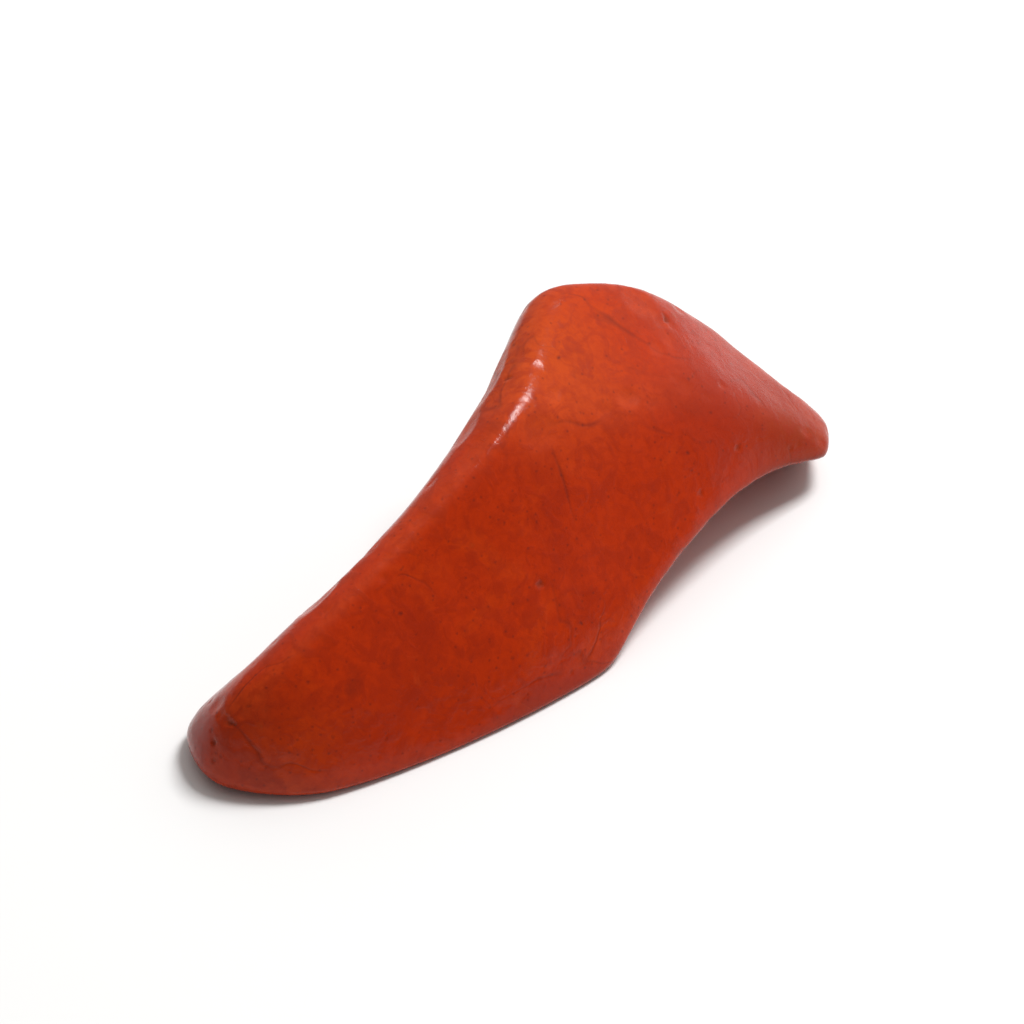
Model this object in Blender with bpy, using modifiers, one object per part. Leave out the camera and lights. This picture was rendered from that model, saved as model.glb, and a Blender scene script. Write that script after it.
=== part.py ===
"""A polished chip of red jasper, one solid piece of stone about 13 mm long.

The chip is a fin-shaped flake of a crushed stone, tumbled until its broken faces are smooth and its
edges are soft. It lies on a flat broken face, with its blunt nose at -X and its hooked tip at +X.
Metres, +Z up. The origin is under the middle of the chip, on the surface that it lies on.
"""

import math

import bmesh
import bpy
import numpy as np

MM = 0.001
NAME = "jasper_chip"

# The broken faces. Each has the middle of the face (mm), the way that it faces (azimuth from +X
# towards +Y and elevation, in degrees) and the radius that it is curved to (mm): a positive one
# bulges, a negative one is hollow, and FLAT is neither.
FLAT = 0.0
FACES = {
    "front": ((-0.28, -1.86, 2.32), (-53, 31), 30.0),
    "top": ((2.42, 3.05, 4.22), (-18, 61), 60.0),
    "shoulder": ((-0.86, -0.06, 4.50), (178, 63), FLAT),
    "back_left": ((-1.96, -0.13, 3.03), (149, 19), -13.3),
    "back": ((1.80, 4.84, 2.80), (113, 1), FLAT),
    "back_right": ((5.05, 4.91, 3.60), (56, 15), FLAT),
    "right_bevel": ((3.80, 4.84, 3.25), (9, 47), FLAT),
    "tip": ((7.05, 2.80, 2.42), (3, -22), FLAT),
    "nose": ((-6.42, -3.97, 0.79), (196, 15), FLAT),
    "nose_front": ((-5.06, -5.26, 0.98), (-98, 19), FLAT),
}

# The scoop under the hooked tip, a stretched ball taken out of the stone.
SCOOP_CENTRE = (5.48, 0.77, -2.58)
SCOOP_RADIUS = 4.21
SCOOP_AXIS_AZIMUTH = 60.0
SCOOP_STRETCH = 1.25

# Nicks: small shells of stone that broke off the edges, each a ball's centre and radius (mm).
NICKS = {
    "left_edge": ((-4.55, -1.05, 3.60), 1.25),
    "back_foot": ((0.72, 5.80, -0.30), 1.50),
    "back_right_edge": ((4.75, 7.45, 1.15), 1.80),
}

# Softness of the edges between faces, and of the rim of a nick (mm). Some places have their own:
# each has its middle (mm), its softness there, and the reach (mm) over which that fades out.
EDGE_SOFTNESS = 0.15
NICK_SOFTNESS = 0.06
OWN_SOFTNESS = {
    "rounded_nose": ((-5.4, -4.2, 0.8), 0.38, 2.2),
    "sharp_tip": ((6.1, 3.9, 1.7), 0.08, 1.5),
}

# Waves left in the polished faces: direction, wavelength (mm), height (mm).
WAVES = (
    ((0.8, 0.5, -0.3), 4.3, 0.030),
    ((-0.3, 0.7, 0.6), 3.1, 0.022),
    ((0.5, -0.6, 0.7), 2.3, 0.014),
)
WAVES_FULL_ABOVE = 1.0

# The flat underside is cut this far above the lowest stone, by a block of this side (mm).
FOOT_TRIM = 0.03
FOOT_BLOCK = 20.0

# The ball of points that is drawn onto the stone's surface. Its rays start on the heart line, which
# runs this far to either side of the stone's heart (mm).
HEART = (-0.3, 0.3, 1.5)
HEART_LINE = (4.0, 3.6, 0.3)
BALL_SUBDIVISIONS = 6
LONGEST_RAY = 7.0
RAY_STEPS = 24

# The even mesh made from it: spacing of its points (mm), and the share of its faces that is kept.
SPACING = 0.15
SETTLING_ROUNDS = 6
KEPT_SHARE = 0.35

# Finish.
STONE_COLOUR = (0.36, 0.028, 0.008, 1.0)
STONE_ROUGHNESS = 0.16
STONE_IOR = 1.54


def clear_scene():
    for obj in list(bpy.data.objects):
        bpy.data.objects.remove(obj, do_unlink=True)


def collection(name):
    made = bpy.data.collections.new(name)
    bpy.context.scene.collection.children.link(made)
    return made


def jasper_material():
    material = bpy.data.materials.new("red_jasper")
    material.use_nodes = True
    shader = material.node_tree.nodes["Principled BSDF"]
    shader.inputs["Base Color"].default_value = STONE_COLOUR
    shader.inputs["Roughness"].default_value = STONE_ROUGHNESS
    shader.inputs["Metallic"].default_value = 0.0
    shader.inputs["IOR"].default_value = STONE_IOR
    material.diffuse_color = STONE_COLOUR
    return material


def direction(azimuth, elevation):
    """The unit vector of an azimuth and an elevation in degrees."""
    a = math.radians(azimuth)
    e = math.radians(elevation)
    return np.array([math.cos(e) * math.cos(a), math.cos(e) * math.sin(a), math.sin(e)])


def soft_max(values, softness):
    """The largest of the values at each point, with the corners between them rounded."""
    highest = values.max(axis=0)
    return highest + softness * np.log(np.exp((values - highest) / softness).sum(axis=0))


def edge_softness(points):
    """How soft the edges are at each point (mm)."""
    softness = np.full(len(points), EDGE_SOFTNESS)
    for middle, own, reach in OWN_SOFTNESS.values():
        away = np.linalg.norm(points - np.array(middle), axis=1)
        softness += (own - EDGE_SOFTNESS) * np.exp(-((away / reach) ** 2))
    return softness


def height_over_face(points, middle, facing, curve):
    """How far each point is outside one broken face."""
    offset = points - np.array(middle)
    height = offset @ direction(*facing)
    if curve != FLAT:
        sideways = (offset * offset).sum(axis=1) - height * height
        height = height + sideways / (2.0 * curve)
    return height


def depth_in_scoop(points):
    """How far each point is inside the scoop, measured in the ball before it is stretched."""
    offset = points - np.array(SCOOP_CENTRE)
    axis = direction(SCOOP_AXIS_AZIMUTH, 0.0)
    along = (offset @ axis)[:, None] * axis
    shrunk = offset - along * (1.0 - 1.0 / SCOOP_STRETCH)
    return SCOOP_RADIUS - np.linalg.norm(shrunk, axis=1)


def depth_in_nick(points, centre, radius):
    """How far each point is inside one nick."""
    return radius - np.linalg.norm(points - np.array(centre), axis=1)


def waves(points):
    """The waves in the polished faces, which die away towards the flat underside."""
    height = np.zeros(len(points))
    for way, length, rise in WAVES:
        unit = np.array(way) / np.linalg.norm(way)
        height += rise * np.sin(2.0 * math.pi * (points @ unit) / length)
    return height * np.clip(points[:, 2] / WAVES_FULL_ABOVE, 0.0, 1.0)


def outside(points):
    """Positive outside the stone and negative inside it, about a distance in mm near its surface."""
    faces = [height_over_face(points, *face) for face in FACES.values()]
    underside = -FOOT_TRIM - points[:, 2]
    heights = np.stack([*faces, underside, depth_in_scoop(points)])
    body = soft_max(heights, edge_softness(points))
    nicks = [depth_in_nick(points, *nick) for nick in NICKS.values()]
    return soft_max(np.stack([body, *nicks]), NICK_SOFTNESS) + waves(points)


def slope(points, step=0.01):
    """The gradient of outside() at each point, over a step in mm."""
    columns = []
    for axis in np.eye(3):
        rise = outside(points + axis * step) - outside(points - axis * step)
        columns.append(rise / (2.0 * step))
    return np.stack(columns, axis=1)


def drawn_to_surface(ball):
    """Where the ball's rays, which start along the stone's heart line, leave the stone."""
    line = np.array(HEART_LINE)
    along = ball @ line / np.linalg.norm(line)
    starts = np.array(HEART) + along[:, None] * line
    near = np.zeros(len(ball))
    far = np.full(len(ball), LONGEST_RAY)
    for _ in range(RAY_STEPS):
        middle = (near + far) / 2.0
        inside = outside(starts + ball * middle[:, None]) < 0.0
        near = np.where(inside, middle, near)
        far = np.where(inside, far, middle)
    return starts + ball * near[:, None]


def rough_stone():
    """The stone in mm, as a ball of points drawn onto its surface."""
    mesh = bpy.data.meshes.new("rough_stone")
    bm = bmesh.new()
    bmesh.ops.create_icosphere(bm, subdivisions=BALL_SUBDIVISIONS, radius=1.0)
    ball = np.array([vert.co[:] for vert in bm.verts])
    for vert, place in zip(bm.verts, drawn_to_surface(ball)):
        vert.co = place
    bm.to_mesh(mesh)
    bm.free()
    return mesh


def evenly_meshed(mesh, spacing):
    """A copy of the mesh in even squares, made by a Remesh modifier on a passing object."""
    carrier = bpy.data.objects.new("carrier", mesh)
    bpy.context.scene.collection.objects.link(carrier)
    remesh = carrier.modifiers.new("even_squares", "REMESH")
    remesh.mode = "VOXEL"
    remesh.voxel_size = spacing
    evaluated = carrier.evaluated_get(bpy.context.evaluated_depsgraph_get())
    made = bpy.data.meshes.new_from_object(evaluated)
    bpy.data.objects.remove(carrier, do_unlink=True)
    bpy.data.meshes.remove(mesh)
    return made


def settled(points, edges):
    """The points moved to their neighbours' mean and back onto the stone's surface, a few times over."""
    count = len(points)
    first, second = edges.T
    neighbours = np.bincount(edges.ravel(), minlength=count)
    for _ in range(SETTLING_ROUNDS):
        total = np.empty_like(points)
        for axis in range(3):
            total[:, axis] = np.bincount(first, points[second, axis], count)
            total[:, axis] += np.bincount(second, points[first, axis], count)
        points = (points + total / neighbours[:, None]) / 2.0
        way = slope(points)
        steepness = (way * way).sum(axis=1)
        points = points - way * (outside(points) / steepness)[:, None]
    return points


def stone_mesh():
    """The stone's surface in metres, with the origin under the middle of its box."""
    mesh = evenly_meshed(rough_stone(), SPACING)
    points = np.array([vert.co[:] for vert in mesh.vertices])
    edges = np.array([edge.vertices[:] for edge in mesh.edges])
    points = settled(points, edges)
    middle = (points.min(axis=0) + points.max(axis=0)) / 2.0
    origin = np.array([middle[0], middle[1], 0.0])
    mesh.vertices.foreach_set("co", ((points - origin) * MM).ravel())
    mesh.update()
    mesh.name = NAME
    return mesh


def foot_cutter(home):
    """A block whose top is the plane that the stone lies on."""
    side = FOOT_BLOCK * MM
    bpy.ops.mesh.primitive_cube_add(size=side, location=(0.0, 0.0, -side / 2.0))
    cutter = bpy.context.object
    cutter.name = "foot_cutter"
    cutter.display_type = "WIRE"
    cutter.hide_render = True
    for other in cutter.users_collection:
        other.objects.unlink(cutter)
    home.objects.link(cutter)
    return cutter


def jasper_chip(home, cutter):
    chip = bpy.data.objects.new(NAME, stone_mesh())
    home.objects.link(chip)
    chip.data.materials.append(jasper_material())
    chip.data.shade_smooth()
    thinned = chip.modifiers.new("fewer_triangles", "DECIMATE")
    thinned.ratio = KEPT_SHARE
    foot = chip.modifiers.new("flat_foot", "BOOLEAN")
    foot.operation = "DIFFERENCE"
    foot.object = cutter
    return chip


def main():
    clear_scene()
    stone = collection("red_jasper_chip")
    cutters = collection("cutters")
    jasper_chip(stone, foot_cutter(cutters))


if __name__ == "__main__":
    main()
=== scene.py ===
"""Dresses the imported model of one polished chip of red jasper, about 13 mm long.

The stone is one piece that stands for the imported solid. It has the same broken faces, scoop and
nicks, at a finer mesh, with the small marks that tumbling leaves: flakes off the edges, pits and
half-moon bruises. Lengths in the shape's own tables are in mm, and everything in Blender in metres.
"""

import math

import bmesh
import bpy
import numpy as np
from bpy.props import (
    FloatProperty,
    FloatVectorProperty,
    IntProperty,
    PointerProperty,
)
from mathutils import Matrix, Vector, noise


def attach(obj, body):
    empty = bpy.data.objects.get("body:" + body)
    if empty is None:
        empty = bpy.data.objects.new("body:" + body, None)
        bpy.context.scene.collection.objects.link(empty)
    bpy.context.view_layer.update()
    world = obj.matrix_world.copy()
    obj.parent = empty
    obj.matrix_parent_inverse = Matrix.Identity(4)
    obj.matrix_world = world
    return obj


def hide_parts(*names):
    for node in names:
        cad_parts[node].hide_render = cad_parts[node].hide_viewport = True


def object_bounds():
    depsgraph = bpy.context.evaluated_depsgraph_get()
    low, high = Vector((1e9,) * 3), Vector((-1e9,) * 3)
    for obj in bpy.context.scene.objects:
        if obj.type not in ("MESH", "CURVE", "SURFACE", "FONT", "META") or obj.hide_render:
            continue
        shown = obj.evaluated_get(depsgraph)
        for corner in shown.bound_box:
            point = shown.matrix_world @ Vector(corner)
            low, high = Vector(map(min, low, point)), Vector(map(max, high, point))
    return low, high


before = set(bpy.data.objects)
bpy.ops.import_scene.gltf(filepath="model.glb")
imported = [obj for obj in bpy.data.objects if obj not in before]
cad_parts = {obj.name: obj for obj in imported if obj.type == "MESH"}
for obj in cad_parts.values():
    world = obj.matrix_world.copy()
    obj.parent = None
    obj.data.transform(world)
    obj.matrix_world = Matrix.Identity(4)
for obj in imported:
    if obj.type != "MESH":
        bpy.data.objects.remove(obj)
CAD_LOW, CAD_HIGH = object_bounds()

bl_info = {
    "name": "Red jasper chip",
    "version": (1, 0, 0),
    "blender": (4, 5, 0),
    "location": "View3D > Sidebar > Jasper",
    "description": "Makes one tumbled chip of red jasper and its stage",
    "category": "Add Mesh",
}

MM = 0.001
NODE = "jasper_chip"
STONE = "jasper_stone"
MIDDLE = (CAD_LOW + CAD_HIGH) / 2.0

# The broken faces. Each has the middle of the face (mm), the way that it faces (azimuth from +X
# towards +Y and elevation, in degrees) and the radius that it is curved to (mm): a positive one
# bulges, a negative one is hollow, and FLAT is neither.
FLAT = 0.0
FACES = {
    "front": ((-0.28, -1.86, 2.32), (-53, 31), 30.0),
    "top": ((2.42, 3.05, 4.22), (-18, 61), 60.0),
    "shoulder": ((-0.86, -0.06, 4.50), (178, 63), FLAT),
    "back_left": ((-1.96, -0.13, 3.03), (149, 19), -13.3),
    "back": ((1.80, 4.84, 2.80), (113, 1), FLAT),
    "back_right": ((5.05, 4.91, 3.60), (56, 15), FLAT),
    "right_bevel": ((3.80, 4.84, 3.25), (9, 47), FLAT),
    "tip": ((7.05, 2.80, 2.42), (3, -22), FLAT),
    "nose": ((-6.42, -3.97, 0.79), (196, 15), FLAT),
    "nose_front": ((-5.06, -5.26, 0.98), (-98, 19), FLAT),
}

# The faces that take fewer marks than the others: how many, against one for an ordinary face.
QUIET_FACES = {
    "front": 0.06,
    "top": 0.06,
    "right_bevel": 0.1,
    "shoulder": 0.3,
    "nose": 0.4,
    "nose_front": 0.3,
}

# The scoop under the hooked tip, a stretched ball taken out of the stone.
SCOOP_CENTRE = (5.48, 0.77, -2.58)
SCOOP_RADIUS = 4.21
SCOOP_AXIS_AZIMUTH = 60.0
SCOOP_STRETCH = 1.25

# Nicks: small shells of stone that broke off the edges, each a ball's centre and radius (mm).
NICKS = {
    "left_edge": ((-4.55, -1.05, 3.60), 1.25),
    "back_foot": ((0.72, 5.80, -0.30), 1.50),
    "back_right_edge": ((4.75, 7.45, 1.15), 1.80),
}

# Softness of the edges between faces, and of the rim of a nick (mm). Some places have their own:
# each has its middle (mm), its softness there, and the reach (mm) over which that fades out.
EDGE_SOFTNESS = 0.15
NICK_SOFTNESS = 0.06
OWN_SOFTNESS = {
    "rounded_nose": ((-5.4, -4.2, 0.8), 0.38, 2.2),
    "sharp_tip": ((6.1, 3.9, 1.7), 0.08, 1.5),
}

# Waves left in the polished faces: direction, wavelength (mm), height (mm).
WAVES = (
    ((0.8, 0.5, -0.3), 4.3, 0.030),
    ((-0.3, 0.7, 0.6), 3.1, 0.022),
    ((0.5, -0.6, 0.7), 2.3, 0.014),
)
WAVES_FULL_ABOVE = 1.0
FOOT_TRIM = 0.03

# The ball of points that is drawn onto the stone's surface. Its rays start on the heart line, which
# runs this far to either side of the stone's heart (mm).
HEART = (-0.3, 0.3, 1.5)
HEART_LINE = (4.0, 3.6, 0.3)
BALL_SUBDIVISIONS = 6
LONGEST_RAY = 7.0
RAY_STEPS = 24
SETTLING_ROUNDS = 6

# Ripples from the blow that broke a face: the blow's place, wavelength (mm), height (mm), and how
# far they carry (mm).
RIPPLES = (
    ((4.9, 3.2, 0.2), 0.62, 0.014, 2.2),
    ((-2.4, 1.9, 0.4), 0.95, 0.015, 2.8),
    ((2.4, 6.2, 3.9), 0.75, 0.012, 2.4),
)

# Soft unevenness: the size of its lumps (mm), their rise, and how far along (mm) the noise is read.
# LUMPS and RIPPLE_BEND rise in mm, and the others vary a share around its usual value.
RIPPLE_BEND = (1.1, 0.55, 0.0)
RIPPLE_STRENGTH = (0.9, 1.6, 20.0)
PIT_PATCHES = (1.5, 2.0, 80.0)
PIT_RAGGEDNESS = (0.09, 0.9, 0.0)
LUMPS = ((0.55, 0.008, 0.0), (0.2, 0.003, 50.0))
USUAL_RIPPLE_STRENGTH = 0.5
USUAL_PIT_SHARE = 0.15

# The marks are drawn with this seed. WIDE_EDGE is the softness (mm) that tells how near an edge a
# mark is. The marks fade out over this height above the underside, and the whole surface above it
# is set this far into the solid, to keep their relief within it (mm).
SEED = 41
WIDE_EDGE = 0.22
MARKS_FULL_ABOVE = 0.3
SET_IN = 0.02

# Flakes, and the tiny chips that are small flakes: their widths and depths (mm). The rim's softness
# and the deepest cut are against the flake's depth. A reach, here and below, is how far around its
# middle a mark is worked out, against half its width.
FLAKE_WIDTHS = (0.5, 1.4)
FLAKE_DEPTHS = (0.012, 0.04)
CHIP_WIDTHS = (0.18, 0.45)
CHIP_DEPTHS = (0.006, 0.016)
FLAKE_RIM = 0.15
FLAKE_DEEPEST = 1.5
FLAKE_REACH = 3.0

# Pits: their widths (mm), their depths against their radius, how much narrower they are one way,
# and how likely they are away from an edge, against one more on it.
PIT_WIDTHS = (0.09, 0.26)
PIT_DEPTHS = (0.2, 0.4)
PIT_SQUEEZE = (1.0, 2.2)
PIT_REACH = 1.1
PITS_OFF_EDGES = 0.3

# Half-moon bruises: their widths, and the depth and the width of their groove (mm). The greater
# BRUISE_ENDS is, the more suddenly the half circle ends.
BRUISE_WIDTHS = (0.2, 0.4)
BRUISE_DEPTH = 0.006
BRUISE_GROOVE = 0.045
BRUISE_REACH = 1.6
BRUISE_ENDS = 1.6

# The chance that even a bare place has of a mark, against 1 for the likeliest place.
LEAST_FLAKE_CHANCE = 1e-6
LEAST_PIT_CHANCE = 1e-7
LEAST_BRUISE_CHANCE = 1e-9

# How deep a flake or a pit is (mm) where the material shows it in full.
FLAKE_SHOWN = 0.02
PIT_SHOWN = 0.03
MARKS = ("worn_edge", "pit", "flake", "bruise")

# The patterns in the stone: the node group that makes each one, and its values there. Sizes and
# spacings are in mm, a reach is against its spacing, and the specks' Share is how many are kept.
# From, To, Width and the seams' Share are levels of a noise that runs from 0 to 1.
PATTERNS = {
    "maroon": ("clouds", {"Size": 4.6, "Warp": 0.7, "From": 0.48, "To": 0.62}),
    "orange": ("clouds", {"Size": 1.5, "Warp": 0.9, "From": 0.50, "To": 0.70}),
    "mottle": ("clouds", {"Size": 0.55, "Warp": 1.4, "From": 0.46, "To": 0.62}),
    "grain": ("clouds", {"Size": 0.16, "Warp": 0.3, "From": 0.32, "To": 0.70}),
    "iron": ("specks", {"Spacing": 0.34, "Reach": 0.16, "Share": 0.26}),
    "ochre": ("specks", {"Spacing": 0.62, "Reach": 0.13, "Share": 0.20}),
    "pepper": ("specks", {"Spacing": 0.12, "Reach": 0.30, "Share": 0.40}),
    "seam": ("seams", {"Size": 4.4, "Width": 0.010, "Share": 0.46}),
    "vein": ("seams", {"Size": 2.6, "Width": 0.006, "Share": 0.56}),
}

# Where the worn edges show: how much mottle breaks them up, and where they begin and are full.
WORN_MOTTLE = 0.35
WORN_SHOWN = (0.40, 1.15)

# The colours that are laid over the brick red, in this order. The first and the last group have
# the colour, its mask and its share. The group between has the colour of one place on the stone,
# the place and how far it reaches (mm), and its share. Three of those are painted light and shade:
# the top lighter where the light falls on it, and the right bevel and the hooked tip darker.
FIRST_TINTS = (
    ("maroon", "maroon", 0.60),
    ("orange", "orange", 0.45),
    ("worn", "worn", 0.28),
)
PLACE_TINTS = (
    ("plum", (-6.5, -4.0, 0.9), 1.9, 0.80),
    ("orange", (-4.1, -4.9, 0.8), 1.8, 0.75),
    # Painted light: this tint makes the top lighter and more orange, where the overhead light
    # falls.
    ("painted_top_light", (0.5, 2.0, 5.0), 3.2, 0.80),
    # Painted shade: this maroon darkens the right bevel, as if shaded from the right.
    ("maroon", (4.4, 3.0, 3.0), 2.7, 0.75),
    # Painted shade: this dark brown darkens the hooked tip, as if it lay in shade.
    ("painted_tip_shade", (6.2, 3.2, 1.9), 2.4, 0.90),
)
LAST_TINTS = (
    ("maroon", "mottle", 0.42),
    ("maroon", "grain", 0.36),
    ("iron", "pepper", 0.48),
    ("iron", "iron", 0.65),
    ("ochre", "ochre", 0.45),
    ("iron", "seam", 0.65),
    ("worn", "vein", 0.30),
    ("worn", "bruise", 0.35),
    ("worn", "flake", 0.12),
    ("dust", "pit", 0.65),
)

# What each mask adds to the roughness of the polish, and to the height of the skin.
ROUGHENED = {
    "grain": 0.06,
    "orange": 0.05,
    "mottle": 0.05,
    "pit": 0.22,
    "bruise": 0.18,
    "flake": 0.08,
}
RAISED = {"grain": 0.55, "mottle": 0.5, "iron": -0.6, "seam": -1.2, "vein": -0.5}

# The stage. The room is brightest in one direction (azimuth and elevation in degrees) and fades
# between two cosines of the angle to it. The camera sees between two distances (m).
BRIGHT_SIDE = (60.0, 40.0)
ROOM_FADE = (0.1, 0.9)
FLOOR_ROUGHNESS = 0.7
FLOOR_GLOSS = 0.2
CAMERA_CLIP = (0.005, 10.0)


def direction(azimuth, elevation):
    """The unit vector of an azimuth and an elevation in degrees."""
    a = math.radians(azimuth)
    e = math.radians(elevation)
    return np.array([math.cos(e) * math.cos(a), math.cos(e) * math.sin(a), math.sin(e)])


def soft_max(values, softness):
    """The largest of the values at each point, with the corners between them rounded."""
    highest = values.max(axis=0)
    return highest + softness * np.log(np.exp((values - highest) / softness).sum(axis=0))


def edge_softness(points):
    """How soft the edges are at each point (mm)."""
    softness = np.full(len(points), EDGE_SOFTNESS)
    for middle, own, reach in OWN_SOFTNESS.values():
        away = np.linalg.norm(points - np.array(middle), axis=1)
        softness += (own - EDGE_SOFTNESS) * np.exp(-((away / reach) ** 2))
    return softness


def height_over_face(points, middle, facing, curve):
    """How far each point is outside one broken face."""
    offset = points - np.array(middle)
    height = offset @ direction(*facing)
    if curve != FLAT:
        sideways = (offset * offset).sum(axis=1) - height * height
        height = height + sideways / (2.0 * curve)
    return height


def depth_in_scoop(points):
    """How far each point is inside the scoop, measured in the ball before it is stretched."""
    offset = points - np.array(SCOOP_CENTRE)
    axis = direction(SCOOP_AXIS_AZIMUTH, 0.0)
    along = (offset @ axis)[:, None] * axis
    shrunk = offset - along * (1.0 - 1.0 / SCOOP_STRETCH)
    return SCOOP_RADIUS - np.linalg.norm(shrunk, axis=1)


def depth_in_nick(points, centre, radius):
    """How far each point is inside one nick."""
    return radius - np.linalg.norm(points - np.array(centre), axis=1)


def waves(points):
    """The waves in the polished faces, which die away towards the flat underside."""
    height = np.zeros(len(points))
    for way, length, rise in WAVES:
        unit = np.array(way) / np.linalg.norm(way)
        height += rise * np.sin(2.0 * math.pi * (points @ unit) / length)
    return height * np.clip(points[:, 2] / WAVES_FULL_ABOVE, 0.0, 1.0)


def all_depths(points):
    """Each point's height over every face, the underside, the scoop and the nicks, one row each."""
    faces = [height_over_face(points, *face) for face in FACES.values()]
    nicks = [depth_in_nick(points, *nick) for nick in NICKS.values()]
    return np.stack([*faces, -FOOT_TRIM - points[:, 2], depth_in_scoop(points), *nicks])


def outside(points):
    """Positive outside the stone and negative inside it, near its surface about a distance (mm)."""
    rows = all_depths(points)
    hollows = len(NICKS)
    body = soft_max(rows[:-hollows], edge_softness(points))
    return soft_max(np.stack([body, *rows[-hollows:]]), NICK_SOFTNESS) + waves(points)


def slope(points, step=0.01):
    """The gradient of outside() at each point, over a step in mm."""
    columns = []
    for axis in np.eye(3):
        rise = outside(points + axis * step) - outside(points - axis * step)
        columns.append(rise / (2.0 * step))
    return np.stack(columns, axis=1)


def drawn_to_surface(ball):
    """Where the ball's rays, which start along the stone's heart line, leave the stone."""
    line = np.array(HEART_LINE)
    along = ball @ line / np.linalg.norm(line)
    starts = np.array(HEART) + along[:, None] * line
    near = np.zeros(len(ball))
    far = np.full(len(ball), LONGEST_RAY)
    for _ in range(RAY_STEPS):
        middle = (near + far) / 2.0
        inside = outside(starts + ball * middle[:, None]) < 0.0
        near = np.where(inside, middle, near)
        far = np.where(inside, far, middle)
    return starts + ball * near[:, None]


def rough_stone():
    """The stone in mm, as a ball of points drawn onto its surface."""
    mesh = bpy.data.meshes.new("rough_stone")
    bm = bmesh.new()
    bmesh.ops.create_icosphere(bm, subdivisions=BALL_SUBDIVISIONS, radius=1.0)
    ball = np.array([vert.co[:] for vert in bm.verts])
    for vert, place in zip(bm.verts, drawn_to_surface(ball)):
        vert.co = place
    bm.to_mesh(mesh)
    bm.free()
    return mesh


def evenly_meshed(mesh, spacing):
    """A copy of the mesh in even squares, made by a Remesh modifier on a passing object."""
    carrier = bpy.data.objects.new("carrier", mesh)
    bpy.context.scene.collection.objects.link(carrier)
    remesh = carrier.modifiers.new("even_squares", "REMESH")
    remesh.mode = "VOXEL"
    remesh.voxel_size = spacing
    evaluated = carrier.evaluated_get(bpy.context.evaluated_depsgraph_get())
    made = bpy.data.meshes.new_from_object(evaluated)
    bpy.data.objects.remove(carrier, do_unlink=True)
    bpy.data.meshes.remove(mesh)
    return made


def settled(points, edges):
    """The points moved to their neighbours' mean and back onto the surface, a few times over."""
    count = len(points)
    first, second = edges.T
    neighbours = np.bincount(edges.ravel(), minlength=count)
    for _ in range(SETTLING_ROUNDS):
        total = np.empty_like(points)
        for axis in range(3):
            total[:, axis] = np.bincount(first, points[second, axis], count)
            total[:, axis] += np.bincount(second, points[first, axis], count)
        points = (points + total / neighbours[:, None]) / 2.0
        way = slope(points)
        steepness = (way * way).sum(axis=1)
        points = points - way * (outside(points) / steepness)[:, None]
    return points


def edge_nearness(points, softness):
    """0 in the middle of a broken face and up to 1 on a sharp edge between two."""
    rows = all_depths(points)
    weights = np.exp((rows - rows.max(axis=0)) / softness)
    return np.clip(2.0 * (1.0 - 1.0 / weights.sum(axis=0)), 0.0, 1.0)


def busyness(points):
    """How many marks each point's face takes, against one for an ordinary face."""
    rows = all_depths(points)
    share = np.ones(len(rows))
    for row, name in enumerate(FACES):
        share[row] = QUIET_FACES.get(name, 1.0)
    return share[rows.argmax(axis=0)]


def flakes(points, normals, rng, count, widths, depths, chances):
    """How deep each point is under the shallow bowls that flaked off the stone (mm)."""
    depth = np.zeros(len(points))
    for seat in rng.choice(len(points), count, replace=False, p=chances / chances.sum()):
        half = rng.uniform(*widths) / 2.0
        bite = rng.uniform(*depths)
        radius = (half * half + bite * bite) / (2.0 * bite)
        tilt = normals[seat] + rng.normal(0.0, bite / half, 3)
        centre = points[seat] + tilt / np.linalg.norm(tilt) * (radius - bite)
        near = np.abs(points - points[seat]).max(axis=1) < FLAKE_REACH * half
        cut = radius - np.linalg.norm(points[near] - centre, axis=1)
        rim = FLAKE_RIM * bite
        # The clip keeps the exponential from overflowing.
        cut = rim * np.log1p(np.exp(np.clip(cut / rim, -30.0, 30.0)))
        depth[near] = np.maximum(depth[near], np.minimum(cut, FLAKE_DEEPEST * bite))
    return depth


def pits(points, rng, count, chances):
    """How deep each point is in the small pits that polishing didn't reach (mm)."""
    depth = np.zeros(len(points))
    least, most = PIT_WIDTHS
    for seat in rng.choice(len(points), count, replace=False, p=chances / chances.sum()):
        radius = (least + (most - least) * rng.random() ** 2) / 2.0
        bottom = radius * rng.uniform(*PIT_DEPTHS)
        way = rng.normal(0.0, 1.0, 3)
        way /= np.linalg.norm(way)
        squeeze = rng.uniform(*PIT_SQUEEZE)
        near = np.flatnonzero(np.abs(points - points[seat]).max(axis=1) < PIT_REACH * radius)
        offset = points[near] - points[seat]
        reach = (offset * offset).sum(axis=1) + (squeeze**2 - 1.0) * (offset @ way) ** 2
        ragged = 1.0 + unevenness(points[near], *PIT_RAGGEDNESS)
        share = np.clip(1.0 - reach * ragged**2 / radius**2, 0.0, 1.0)
        depth[near] = np.maximum(depth[near], bottom * share)
    return depth


def bruises(points, normals, rng, count, chances):
    """How deep each point is in the half-moon marks of stones that struck it (mm)."""
    depth = np.zeros(len(points))
    for seat in rng.choice(len(points), count, replace=False, p=chances / chances.sum()):
        radius = rng.uniform(*BRUISE_WIDTHS) / 2.0
        way = np.cross(normals[seat], rng.normal(0.0, 1.0, 3))
        way /= np.linalg.norm(way)
        near = np.flatnonzero(np.abs(points - points[seat]).max(axis=1) < BRUISE_REACH * radius)
        offset = points[near] - points[seat]
        reach = np.linalg.norm(offset, axis=1)
        along = (offset @ way) / np.maximum(reach, 1e-6)
        groove = np.exp(-(((reach - radius) / BRUISE_GROOVE) ** 2))
        arc = groove * np.clip(along * BRUISE_ENDS, 0.0, 1.0)
        depth[near] = np.maximum(depth[near], BRUISE_DEPTH * arc)
    return depth


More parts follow.
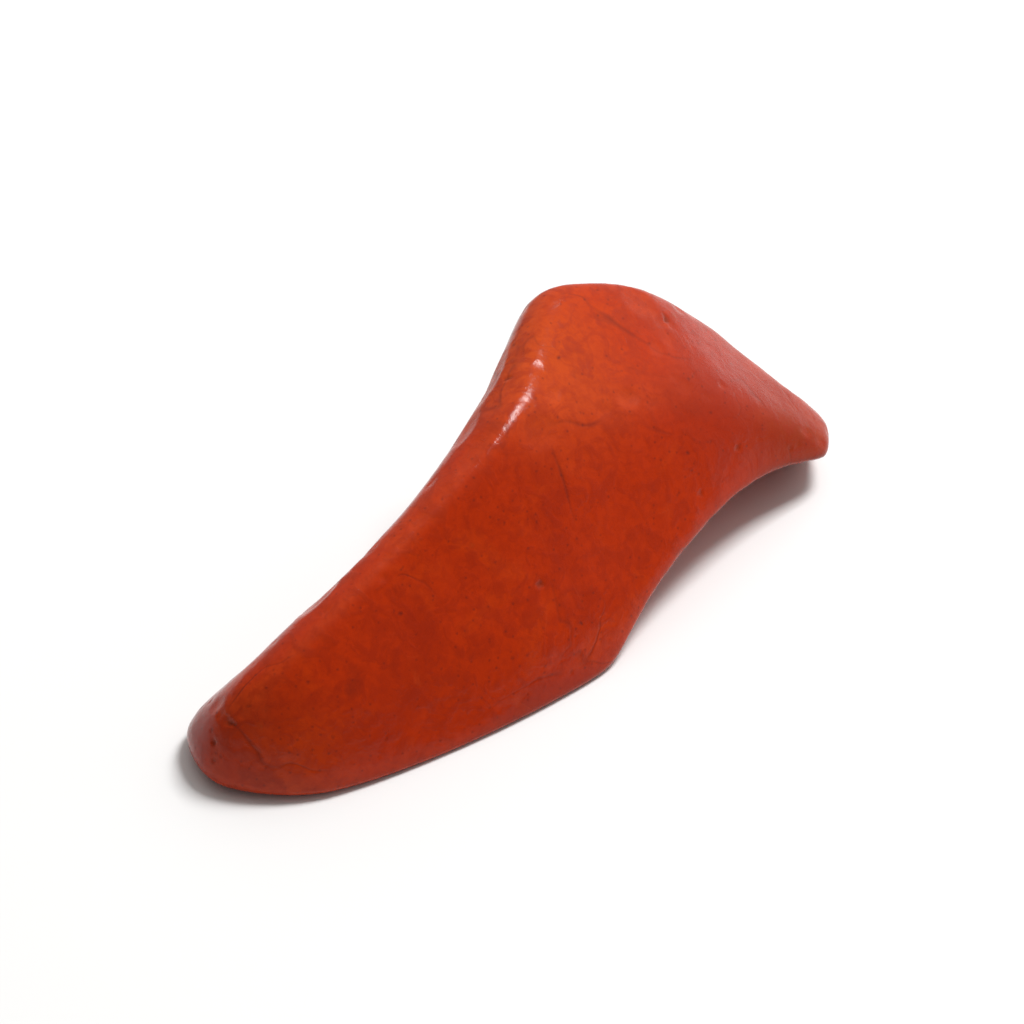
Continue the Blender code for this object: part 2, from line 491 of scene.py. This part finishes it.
def ripples(points):
    """The faint uneven rings that a blow leaves around it on the face that it broke (mm)."""
    height = np.zeros(len(points))
    bend = unevenness(points, *RIPPLE_BEND)
    strength = USUAL_RIPPLE_STRENGTH + unevenness(points, *RIPPLE_STRENGTH)
    strength = np.clip(strength, 0.0, 1.0)
    for blow, length, rise, carry in RIPPLES:
        reach = np.linalg.norm(points - np.array(blow), axis=1)
        ring = np.sin(2.0 * math.pi * (reach + bend) / length)
        height += rise * strength * ring * np.exp(-((reach / carry) ** 2))
    return height


def unevenness(points, size, rise, along):
    """Soft irregular lumps of about that size, from noise read that far along (mm)."""
    return rise * np.array([noise.noise(Vector(point / size)) for point in points + along])


def marked(points, normals, sizes):
    """The points with the marks pressed into them (mm), and how much each mark shows there."""
    edge = edge_nearness(points, WIDE_EDGE)
    busy = busyness(points)
    above = np.clip(points[:, 2] / MARKS_FULL_ABOVE, 0.0, 1.0)
    patches = np.clip(USUAL_PIT_SHARE + unevenness(points, *PIT_PATCHES), 0.0, 1.0)
    on_edges = edge**2 * busy * above + LEAST_FLAKE_CHANCE
    on_any_edge = edge**3 * above + LEAST_FLAKE_CHANCE
    in_patches = patches * busy * (PITS_OFF_EDGES + edge) * above + LEAST_PIT_CHANCE
    on_busy_faces = busy**2 * edge * above + LEAST_BRUISE_CHANCE

    rng = np.random.default_rng(SEED)
    flaked = flakes(points, normals, rng, sizes.flakes, FLAKE_WIDTHS, FLAKE_DEPTHS, on_edges)
    chipped = flakes(points, normals, rng, sizes.chips, CHIP_WIDTHS, CHIP_DEPTHS, on_any_edge)
    flaked = np.maximum(flaked, chipped)
    pitted = pits(points, rng, sizes.pits, in_patches)
    bruised = bruises(points, normals, rng, sizes.bruises, on_busy_faces)

    lumps = sum(unevenness(points, *lump) for lump in LUMPS)
    relief = (ripples(points) * busy + lumps - SET_IN) * above
    depth = np.maximum(flaked, np.maximum(pitted, bruised))
    points = points + normals * (relief - depth)[:, None]
    points[:, 2] = np.maximum(points[:, 2], 0.0)
    shown = (
        edge,
        np.clip(pitted / PIT_SHOWN, 0.0, 1.0),
        np.clip(flaked / FLAKE_SHOWN, 0.0, 1.0),
        np.clip(bruised / BRUISE_DEPTH, 0.0, 1.0),
    )
    return points, dict(zip(MARKS, shown))


def stone_mesh(sizes):
    """The stone's mesh in metres, in the CAD solid's place, with its marks as point attributes."""
    mesh = evenly_meshed(rough_stone(), sizes.spacing / MM)
    points = np.array([vert.co[:] for vert in mesh.vertices])
    edges = np.array([edge.vertices[:] for edge in mesh.edges])
    points = settled(points, edges)
    normals = slope(points)
    normals /= np.linalg.norm(normals, axis=1)[:, None]
    middle = (points.min(axis=0) + points.max(axis=0)) / 2.0
    points, shown = marked(points, normals, sizes)

    target = np.array(MIDDLE) / MM
    shift = np.array([target[0] - middle[0], target[1] - middle[1], 0.0])
    mesh.vertices.foreach_set("co", ((points + shift) * MM).ravel())
    for name, values in shown.items():
        mesh.attributes.new(name, "FLOAT", "POINT").data.foreach_set("value", values)
    mesh.update()
    mesh.name = STONE
    return mesh


def node(tree, kind, values=(), **settings):
    """A new node with its settings, and its input sockets' values by name."""
    made = tree.nodes.new(kind)
    for name, value in settings.items():
        setattr(made, name, value)
    for name, value in dict(values).items():
        made.inputs[name].default_value = value
    return made


def pattern_group(name, values):
    """A new node group from a place and some values to a mask, and its input and output nodes."""
    tree = bpy.data.node_groups.new(name, "ShaderNodeTree")
    tree.interface.new_socket("Place", in_out="INPUT", socket_type="NodeSocketVector")
    for label, default in values.items():
        socket = tree.interface.new_socket(label, in_out="INPUT", socket_type="NodeSocketFloat")
        socket.default_value = default
    tree.interface.new_socket("Mask", in_out="OUTPUT", socket_type="NodeSocketFloat")
    return tree, tree.nodes.new("NodeGroupInput"), tree.nodes.new("NodeGroupOutput")


def scaled_place(tree, given, length):
    """A node group's place divided by one of its lengths."""
    size = node(tree, "ShaderNodeCombineXYZ")
    for axis in "XYZ":
        tree.links.new(given.outputs[length], size.inputs[axis])
    scaled = node(tree, "ShaderNodeVectorMath", operation="DIVIDE")
    tree.links.new(given.outputs["Place"], scaled.inputs[0])
    tree.links.new(size.outputs[0], scaled.inputs[1])
    return scaled.outputs[0]


def clouds_group():
    """Soft clouds of a second colour in the stone."""
    tree, given, result = pattern_group(
        "stone_clouds", {"Size": 2.0, "Warp": 0.6, "From": 0.45, "To": 0.62}
    )
    link = tree.links.new
    cloud = node(
        tree, "ShaderNodeTexNoise", {"Scale": 1.0, "Detail": 5.0, "Roughness": 0.55}
    )
    link(scaled_place(tree, given, "Size"), cloud.inputs["Vector"])
    link(given.outputs["Warp"], cloud.inputs["Distortion"])
    cut = node(tree, "ShaderNodeMapRange", interpolation_type="SMOOTHSTEP")
    link(cloud.outputs["Fac"], cut.inputs["Value"])
    link(given.outputs["From"], cut.inputs["From Min"])
    link(given.outputs["To"], cut.inputs["From Max"])
    link(cut.outputs["Result"], result.inputs["Mask"])
    return tree


def specks_group():
    """Small separate grains of another mineral."""
    tree, given, result = pattern_group(
        "mineral_specks", {"Spacing": 0.5, "Reach": 0.2, "Share": 0.4}
    )
    link = tree.links.new
    scaled = scaled_place(tree, given, "Spacing")
    warp = node(tree, "ShaderNodeTexNoise", {"Scale": 2.5, "Detail": 2.0})
    link(scaled, warp.inputs["Vector"])
    warped = node(tree, "ShaderNodeMix", {"Factor": 0.22}, data_type="VECTOR")
    link(scaled, warped.inputs["A"])
    link(warp.outputs["Color"], warped.inputs["B"])
    cells = node(tree, "ShaderNodeTexVoronoi", {"Scale": 1.0, "Randomness": 1.0})
    link(warped.outputs["Result"], cells.inputs["Vector"])
    grain = node(
        tree,
        "ShaderNodeMapRange",
        {"From Min": 0.0, "To Min": 1.0, "To Max": 0.0},
        interpolation_type="SMOOTHSTEP",
    )
    link(cells.outputs["Distance"], grain.inputs["Value"])
    link(given.outputs["Reach"], grain.inputs["From Max"])
    chance = node(tree, "ShaderNodeSeparateColor")
    link(cells.outputs["Color"], chance.inputs["Color"])
    kept = arithmetic(tree, "LESS_THAN", chance.outputs["Red"], given.outputs["Share"])
    link(times(tree, grain.outputs["Result"], kept), result.inputs["Mask"])
    return tree


def seams_group():
    """Hairline seams where old cracks in the stone healed, which come and go."""
    tree, given, result = pattern_group(
        "healed_seams", {"Size": 4.0, "Width": 0.006, "Share": 0.55}
    )
    link = tree.links.new
    scaled = scaled_place(tree, given, "Size")
    sheet = node(tree, "ShaderNodeTexNoise", {"Scale": 1.0, "Detail": 3.0, "Distortion": 0.8})
    link(scaled, sheet.inputs["Vector"])
    middle = arithmetic(tree, "SUBTRACT", sheet.outputs["Fac"], 0.5)
    away = node(tree, "ShaderNodeMath", operation="ABSOLUTE")
    link(middle, away.inputs[0])
    line = node(tree, "ShaderNodeMapRange", {"From Min": 0.0, "To Min": 1.0, "To Max": 0.0})
    link(away.outputs[0], line.inputs["Value"])
    link(given.outputs["Width"], line.inputs["From Max"])
    gaps = node(tree, "ShaderNodeTexNoise", {"Scale": 3.1, "Detail": 2.0})
    link(scaled, gaps.inputs["Vector"])
    unbroken = node(
        tree, "ShaderNodeMapRange", {"From Max": 0.75, "To Min": 0.0, "To Max": 1.0}
    )
    link(gaps.outputs["Fac"], unbroken.inputs["Value"])
    link(given.outputs["Share"], unbroken.inputs["From Min"])
    both = times(tree, line.outputs["Result"], unbroken.outputs["Result"])
    link(both, result.inputs["Mask"])
    return tree


def place_in_mm(tree):
    """The place on the object in mm, for the patterns."""
    where = node(tree, "ShaderNodeTexCoord")
    scaled = node(tree, "ShaderNodeVectorMath", operation="SCALE")
    scaled.inputs["Scale"].default_value = 1.0 / MM
    tree.links.new(where.outputs["Object"], scaled.inputs[0])
    return scaled.outputs[0]


def pattern(tree, made, place, values):
    """One use of a pattern's node group, with its own values."""
    used = node(tree, "ShaderNodeGroup", node_tree=made)
    for name, value in values.items():
        used.inputs[name].default_value = value
    tree.links.new(place, used.inputs["Place"])
    return used.outputs["Mask"]


def arithmetic(tree, operation, source, other):
    """The result of a value and a number or another value."""
    made = node(tree, "ShaderNodeMath", operation=operation)
    tree.links.new(source, made.inputs[0])
    if isinstance(other, bpy.types.NodeSocket):
        tree.links.new(other, made.inputs[1])
    else:
        made.inputs[1].default_value = other
    return made.outputs[0]


def times(tree, source, factor):
    """A mask times a number or another mask."""
    return arithmetic(tree, "MULTIPLY", source, factor)


def plus(tree, source, other):
    """A value plus a number or another value."""
    return arithmetic(tree, "ADD", source, other)


def summed(tree, start, masks, shares):
    """A number, plus every mask times its share."""
    total = start
    for name, share in shares.items():
        total = plus(tree, times(tree, masks[name], share), total)
    return total


def tinted(tree, under, colour, mask):
    """One colour laid over another where the mask is 1."""
    made = node(tree, "ShaderNodeMix", data_type="RGBA")
    if isinstance(under, bpy.types.NodeSocket):
        tree.links.new(under, made.inputs["A"])
    else:
        made.inputs["A"].default_value = (*under, 1.0)
    made.inputs["B"].default_value = (*colour, 1.0)
    tree.links.new(mask, made.inputs["Factor"])
    return made.outputs["Result"]


def near_spot(tree, place, spot, reach):
    """1 at a spot on the stone (mm) and 0 from that far away."""
    made = node(tree, "ShaderNodeVectorMath", operation="DISTANCE")
    tree.links.new(place, made.inputs[0])
    made.inputs[1].default_value = spot
    fall = node(
        tree,
        "ShaderNodeMapRange",
        {"From Min": 0.0, "From Max": reach, "To Min": 1.0, "To Max": 0.0},
        interpolation_type="SMOOTHSTEP",
    )
    tree.links.new(made.outputs["Value"], fall.inputs["Value"])
    return fall.outputs["Result"]


def masks_of(tree, place):
    """The masks of the stone's patterns and of its marks, by name."""
    groups = {"clouds": clouds_group(), "specks": specks_group(), "seams": seams_group()}
    masks = {}
    for name, (kind, values) in PATTERNS.items():
        masks[name] = pattern(tree, groups[kind], place, values)
    for name in MARKS:
        masks[name] = node(tree, "ShaderNodeAttribute", attribute_name=name).outputs["Fac"]
    broken = plus(tree, masks["worn_edge"], times(tree, masks["mottle"], WORN_MOTTLE))
    begins, full = WORN_SHOWN
    worn = node(
        tree,
        "ShaderNodeMapRange",
        {"From Min": begins, "From Max": full},
        interpolation_type="SMOOTHSTEP",
    )
    tree.links.new(broken, worn.inputs["Value"])
    masks["worn"] = worn.outputs["Result"]
    return masks


def jasper_material(finish):
    """The polished stone: brick red, clouded, with seams, specks, worn edges and dull pits."""
    material = bpy.data.materials.new("red_jasper_polished")
    material.use_nodes = True
    tree = material.node_tree
    link = tree.links.new
    shader = tree.nodes["Principled BSDF"]
    shader.inputs["Metallic"].default_value = 0.0
    shader.inputs["IOR"].default_value = finish.ior
    shader.inputs["Specular IOR Level"].default_value = finish.gloss
    place = place_in_mm(tree)
    masks = masks_of(tree, place)

    colour = finish.brick
    for tint, mask, share in FIRST_TINTS:
        colour = tinted(tree, colour, getattr(finish, tint), times(tree, masks[mask], share))
    for tint, spot, reach, share in PLACE_TINTS:
        mask = times(tree, near_spot(tree, place, spot, reach), share)
        colour = tinted(tree, colour, getattr(finish, tint), mask)
    for tint, mask, share in LAST_TINTS:
        colour = tinted(tree, colour, getattr(finish, tint), times(tree, masks[mask], share))
    link(colour, shader.inputs["Base Color"])
    link(summed(tree, finish.polish, masks, ROUGHENED), shader.inputs["Roughness"])

    bump = node(tree, "ShaderNodeBump", {"Strength": 1.0, "Distance": finish.skin})
    link(summed(tree, 0.0, masks, RAISED), bump.inputs["Height"])
    link(bump.outputs["Normal"], shader.inputs["Normal"])
    return material


def floor_material(colour):
    """The plain pale floor."""
    material = bpy.data.materials.new("pale_floor")
    material.use_nodes = True
    shader = material.node_tree.nodes["Principled BSDF"]
    shader.inputs["Base Color"].default_value = (*colour, 1.0)
    shader.inputs["Roughness"].default_value = FLOOR_ROUGHNESS
    shader.inputs["Specular IOR Level"].default_value = FLOOR_GLOSS
    return material


def around_stone(azimuth, elevation, reach):
    """A place that far from the stone's middle, in that direction (radians)."""
    return MIDDLE + Vector(direction(math.degrees(azimuth), math.degrees(elevation))) * reach


def aimed(obj, place):
    """Puts an object at a place, facing the stone's middle down its own -Z."""
    obj.location = place
    obj.rotation_mode = "QUATERNION"
    obj.rotation_quaternion = (MIDDLE - place).to_track_quat("-Z", "Y")


def pale_floor(side, colour):
    """The square floor that the stone lies on."""
    mesh = bpy.data.meshes.new("floor")
    bm = bmesh.new()
    bmesh.ops.create_grid(bm, x_segments=1, y_segments=1, size=side / 2.0)
    bm.to_mesh(mesh)
    bm.free()
    floor = bpy.data.objects.new("floor", mesh)
    floor.data.materials.append(floor_material(colour))
    return floor


def pale_room(stage):
    """The room's light, which is brightest on one side."""
    world = bpy.data.worlds.new("pale_room")
    world.use_nodes = True
    tree = world.node_tree
    room = tree.nodes["Background"]
    room.inputs["Color"].default_value = (*stage.sky_colour, 1.0)
    where = node(tree, "ShaderNodeTexCoord")
    facing = node(tree, "ShaderNodeVectorMath", operation="DOT_PRODUCT")
    facing.inputs[1].default_value = direction(*BRIGHT_SIDE)
    tree.links.new(where.outputs["Generated"], facing.inputs[0])
    begins, full = ROOM_FADE
    fade = node(
        tree,
        "ShaderNodeMapRange",
        {
            "From Min": begins,
            "From Max": full,
            "To Min": stage.sky_dim,
            "To Max": stage.sky_bright,
        },
        interpolation_type="SMOOTHSTEP",
    )
    tree.links.new(facing.outputs["Value"], fade.inputs["Value"])
    tree.links.new(fade.outputs["Result"], room.inputs["Strength"])
    return world


def soft_box(stage):
    """The square soft light overhead, which faces the stone."""
    light = bpy.data.lights.new("soft_box", "AREA")
    light.energy = stage.key_power
    light.shape = "SQUARE"
    light.size = stage.key_side
    lamp = bpy.data.objects.new("soft_box", light)
    aimed(lamp, around_stone(stage.key_azimuth, stage.key_elevation, stage.key_reach))
    return lamp


def stage_camera(stage):
    """The camera, far enough away to see the frame's width at the stone."""
    lens = bpy.data.cameras.new("camera")
    lens.lens = stage.lens
    lens.clip_start, lens.clip_end = CAMERA_CLIP
    camera = bpy.data.objects.new("camera", lens)
    reach = stage.frame_width * stage.lens / lens.sensor_width
    aimed(camera, around_stone(stage.camera_azimuth, stage.camera_elevation, reach))
    return camera


def colour_setting(name, description, default):
    """A colour among the settings."""
    return FloatVectorProperty(
        name=name,
        description=description,
        default=default,
        subtype="COLOR",
        size=3,
        min=0.0,
        max=1.0,
    )


class JasperSizes(bpy.types.PropertyGroup):
    """Sizes of the stone's mesh and marks."""

    spacing: FloatProperty(
        name="Mesh spacing",
        description="Space between the mesh's points",
        default=0.000056,
        min=0.00005,
        max=0.0004,
        precision=6,
        unit="LENGTH",
    )
    flakes: IntProperty(
        name="Flakes",
        description="How many shallow flakes have come off the edges",
        default=40,
        min=0,
        max=200,
    )
    chips: IntProperty(
        name="Edge chips",
        description="How many tiny chips the edges have lost",
        default=70,
        min=0,
        max=400,
    )
    pits: IntProperty(
        name="Pits",
        description="How many small pits the polish didn't reach",
        default=90,
        min=0,
        max=600,
    )
    bruises: IntProperty(
        name="Bruises",
        description="How many half-moon bruises other stones have left",
        default=12,
        min=0,
        max=200,
    )


class JasperFinish(bpy.types.PropertyGroup):
    """Colours and polish of the stone."""

    brick: colour_setting(
        name="Brick red",
        description="The stone's main colour",
        default=(0.405, 0.0245, 0.0012),
    )
    # Also used as painted shade, laid over the right bevel to darken it.
    maroon: colour_setting(
        name="Maroon",
        description="The darker clouds",
        default=(0.262, 0.0135, 0.0014),
    )
    orange: colour_setting(
        name="Orange red",
        description="The lighter clouds",
        default=(0.462, 0.037, 0.0012),
    )
    plum: colour_setting(
        name="Plum",
        description="The tint of the nose's left rim",
        default=(0.230, 0.018, 0.010),
    )
    ochre: colour_setting(
        name="Ochre",
        description="The pale specks",
        default=(0.300, 0.052, 0.008),
    )
    # Painted light: laid over the top to make it lighter where the light falls on it.
    painted_top_light: colour_setting(
        name="Crown",
        description="The more orange stone at the top",
        default=(0.480, 0.056, 0.0030),
    )
    # Painted shade: laid over the hooked tip to darken it.
    painted_tip_shade: colour_setting(
        name="Russet",
        description="The brown of the hooked tip",
        default=(0.200, 0.020, 0.0025),
    )
    iron: colour_setting(
        name="Iron",
        description="The dark specks and seams",
        default=(0.090, 0.010, 0.006),
    )
    worn: colour_setting(
        name="Worn",
        description="The paler stone on worn edges and in bruises",
        default=(0.500, 0.060, 0.012),
    )
    dust: colour_setting(
        name="Dust",
        description="Grime and polishing dust in the pits",
        default=(0.160, 0.018, 0.004),
    )
    gloss: FloatProperty(
        name="Gloss",
        description="How much light the waxy polish mirrors, with 0.5 for clean glass",
        default=0.165,
        min=0.0,
        max=1.0,
        subtype="FACTOR",
    )
    polish: FloatProperty(
        name="Polish",
        description="Roughness of the polished faces",
        default=0.13,
        min=0.0,
        max=1.0,
        subtype="FACTOR",
    )
    ior: FloatProperty(
        name="Index of refraction",
        description="Chalcedony's is 1.53 to 1.54",
        default=1.54,
        min=1.0,
        max=3.0,
    )
    skin: FloatProperty(
        name="Skin",
        description="Height of the finest unevenness that the polish leaves",
        default=0.0000035,
        min=0.0,
        max=0.0001,
        precision=7,
        unit="LENGTH",
    )


class JasperStage(bpy.types.PropertyGroup):
    """The floor, the light and the camera."""

    floor_side: FloatProperty(
        name="Floor side",
        description="Side of the square floor",
        default=2.0,
        min=0.1,
        max=20.0,
        unit="LENGTH",
    )
    floor_colour: colour_setting(
        name="Floor colour",
        description="The plain pale floor",
        default=(0.78, 0.78, 0.78),
    )
    sky_colour: colour_setting(
        name="Room colour",
        description="The pale room around the stage",
        default=(1.0, 0.985, 0.955),
    )
    sky_bright: FloatProperty(
        name="Room light, behind",
        description="How bright the room is above and behind the stone",
        default=0.85,
        min=0.0,
        max=10.0,
    )
    sky_dim: FloatProperty(
        name="Room light, in front",
        description="How bright the room is on the camera's side",
        default=0.20,
        min=0.0,
        max=10.0,
    )
    key_power: FloatProperty(
        name="Key power",
        description="Power of the soft box overhead, in watts",
        default=0.225,
        min=0.0,
        max=100.0,
    )
    key_side: FloatProperty(
        name="Key side",
        description="Side of the square soft box overhead",
        default=0.045,
        min=0.001,
        max=5.0,
        unit="LENGTH",
    )
    key_reach: FloatProperty(
        name="Key distance",
        description="Distance of the soft box from the stone",
        default=0.15,
        min=0.01,
        max=10.0,
        unit="LENGTH",
    )
    key_azimuth: FloatProperty(
        name="Key azimuth",
        description="Direction of the soft box, from +X towards +Y",
        default=math.radians(32.0),
        unit="ROTATION",
    )
    key_elevation: FloatProperty(
        name="Key elevation",
        description="Height angle of the soft box",
        default=math.radians(64.0),
        unit="ROTATION",
    )
    camera_azimuth: FloatProperty(
        name="Camera azimuth",
        description="Where the camera stands, from +X towards +Y",
        default=math.radians(-90.0),
        unit="ROTATION",
    )
    camera_elevation: FloatProperty(
        name="Camera elevation",
        description="Height angle of the camera",
        default=math.radians(42.0),
        unit="ROTATION",
    )
    lens: FloatProperty(
        name="Lens",
        description="Focal length of the camera",
        default=400.0,
        min=1.0,
        max=1000.0,
        unit="CAMERA",
    )
    frame_width: FloatProperty(
        name="Frame width",
        description="Width of what the camera sees at the stone",
        default=0.020,
        min=0.001,
        max=1.0,
        precision=4,
        unit="LENGTH",
    )


class JASPER_OT_stone(bpy.types.Operator):
    """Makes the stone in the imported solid's place and gives it its polished jasper finish"""

    bl_idname = "jasper.stone"
    bl_label = "Make the stone"
    bl_options = {"REGISTER", "UNDO"}

    def execute(self, context):
        scene = context.scene
        stone = bpy.data.objects.new(STONE, stone_mesh(scene.jasper_sizes))
        scene.collection.objects.link(stone)
        stone.data.materials.append(jasper_material(scene.jasper_finish))
        stone.data.shade_smooth()
        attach(stone, "root")
        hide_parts(NODE)
        return {"FINISHED"}


class JASPER_OT_stage(bpy.types.Operator):
    """Sets the pale floor, the soft light and the camera"""

    bl_idname = "jasper.stage"
    bl_label = "Set the stage"
    bl_options = {"REGISTER", "UNDO"}

    def execute(self, context):
        scene = context.scene
        stage = scene.jasper_stage
        floor = pale_floor(stage.floor_side, stage.floor_colour)
        scene.collection.objects.link(floor)
        scene.world = pale_room(stage)
        scene.collection.objects.link(soft_box(stage))
        scene.camera = stage_camera(stage)
        scene.collection.objects.link(scene.camera)
        scene.view_settings.view_transform = "Standard"
        return {"FINISHED"}


class JASPER_PT_panel(bpy.types.Panel):
    """The stone's settings in the 3D view's sidebar"""

    bl_idname = "JASPER_PT_panel"
    bl_label = "Red jasper chip"
    bl_space_type = "VIEW_3D"
    bl_region_type = "UI"
    bl_category = "Jasper"

    def draw(self, context):
        scene = context.scene
        for operator, groups in (
            (JASPER_OT_stone, (scene.jasper_sizes, scene.jasper_finish)),
            (JASPER_OT_stage, (scene.jasper_stage,)),
        ):
            box = self.layout.box()
            box.operator(operator.bl_idname)
            for settings in groups:
                for name in settings.__annotations__:
                    box.prop(settings, name)


SETTINGS = {
    "jasper_sizes": JasperSizes,
    "jasper_finish": JasperFinish,
    "jasper_stage": JasperStage,
}
CLASSES = (*SETTINGS.values(), JASPER_OT_stone, JASPER_OT_stage, JASPER_PT_panel)


def register():
    for made in CLASSES:
        bpy.utils.register_class(made)
    for name, made in SETTINGS.items():
        setattr(bpy.types.Scene, name, PointerProperty(type=made))


def unregister():
    for name in SETTINGS:
        delattr(bpy.types.Scene, name)
    for made in reversed(CLASSES):
        bpy.utils.unregister_class(made)


def main():
    register()
    bpy.ops.jasper.stone()
    bpy.ops.jasper.stage()


if __name__ == "__main__":
    main()
